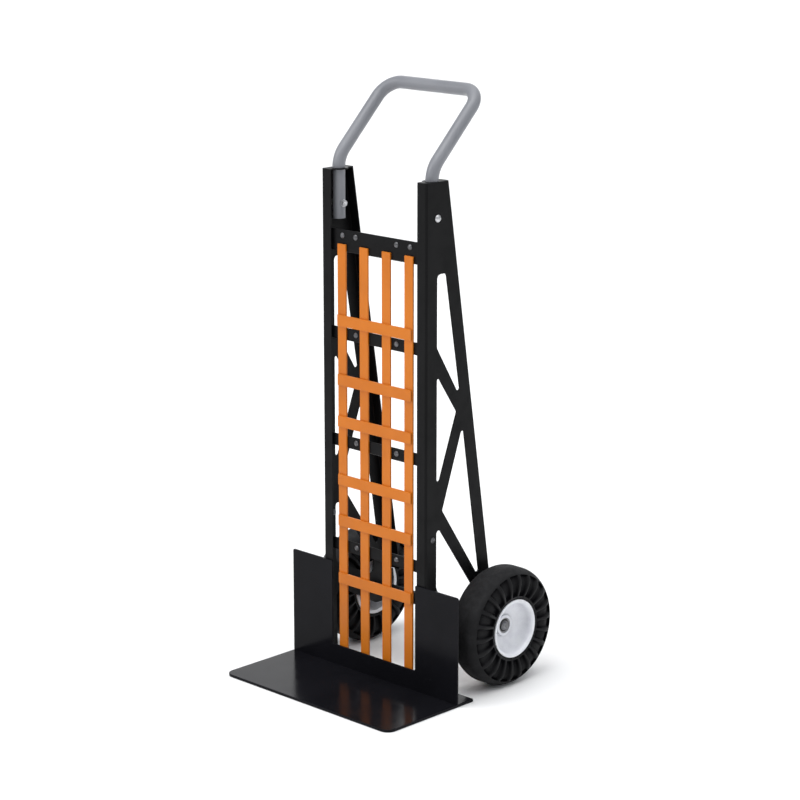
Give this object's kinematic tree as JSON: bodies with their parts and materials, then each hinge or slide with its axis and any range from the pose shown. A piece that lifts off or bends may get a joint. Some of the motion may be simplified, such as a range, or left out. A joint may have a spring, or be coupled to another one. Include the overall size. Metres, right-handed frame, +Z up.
{
  "type": "hand truck",
  "caption": "Upright two-wheel hand truck: folded steel side frames, orange load grid, tubular loop handle, broad toe plate and ribbed tyres on dished white rims.",
  "frame": {"origin": "on the floor under the middle of the whole truck's box, standing upright on its toe plate and wheels", "axes": "+X to the truck's right seen from the load side, -Y the load side (toe plate), +Z up"},
  "size_m": [0.5228, 0.5385, 1.331],
  "materials": {
    "frame_black": "satin black powder coat",
    "plate_black": "gloss black powder coat",
    "grid_orange": "gloss orange powder coat",
    "handle_grey": "satin silver-grey powder coat",
    "zinc": "bright zinc plate",
    "bolt_black": "black zinc plate, dull",
    "axle_steel": "turned steel",
    "bearing_steel": "ground steel",
    "seal_black": "moulded seal",
    "tyre_rubber": "ribbed sidewall, plain tread",
    "rim_white": "moulded white nylon"
  },
  "bodies": {
    "frame": {"side_frame_left": "frame_black", "side_frame_right": "frame_black", "top_cap_left": "frame_black", "top_cap_right": "frame_black", "cross_member_top": "frame_black", "cross_member_upper": "frame_black", "cross_member_middle": "frame_black", "cross_member_lower": "frame_black", "load_strap_1": "grid_orange", "load_strap_2": "grid_orange", "load_strap_3": "grid_orange", "load_strap_4": "grid_orange", "load_bar_1": "grid_orange", "load_bar_2": "grid_orange", "load_bar_3": "grid_orange", "load_bar_4": "grid_orange", "load_bar_5": "grid_orange", "load_bar_6": "grid_orange", "back_plate": "plate_black", "nose_plate": "plate_black", "handle_loop": "handle_grey", "handle_spacers": "zinc", "handle_bolts": "zinc", "handle_washers": "zinc", "handle_nuts": "zinc", "cross_bolts": "bolt_black", "cross_nuts": "bolt_black", "frame_bolts": "bolt_black", "frame_nuts": "bolt_black", "axle": "axle_steel", "axle_tube": "frame_black", "axle_spacers": "axle_steel", "bearing_spacers": "axle_steel", "axle_washers": "zinc", "axle_caps": "zinc", "inner_races": "bearing_steel"},
    "wheel_left": {"tyre_left": "tyre_rubber", "rim_left": "rim_white", "outer_races_left": "bearing_steel", "bearing_balls_left": "bearing_steel", "bearing_shields_left": "seal_black"},
    "wheel_right": {"tyre_right": "tyre_rubber", "rim_right": "rim_white", "outer_races_right": "bearing_steel", "bearing_balls_right": "bearing_steel", "bearing_shields_right": "seal_black"}
  },
  "joints": [
    {"name": "wheel_left_spin", "type": "hinge", "parent": "frame", "child": "wheel_left", "pos_m": [-0.2162, 0.13475, 0.1345], "axis": [1, 0, 0], "continuous": true},
    {"name": "wheel_right_spin", "type": "hinge", "parent": "frame", "child": "wheel_right", "pos_m": [0.2162, 0.13475, 0.1345], "axis": [1, 0, 0], "continuous": true}
  ]
}
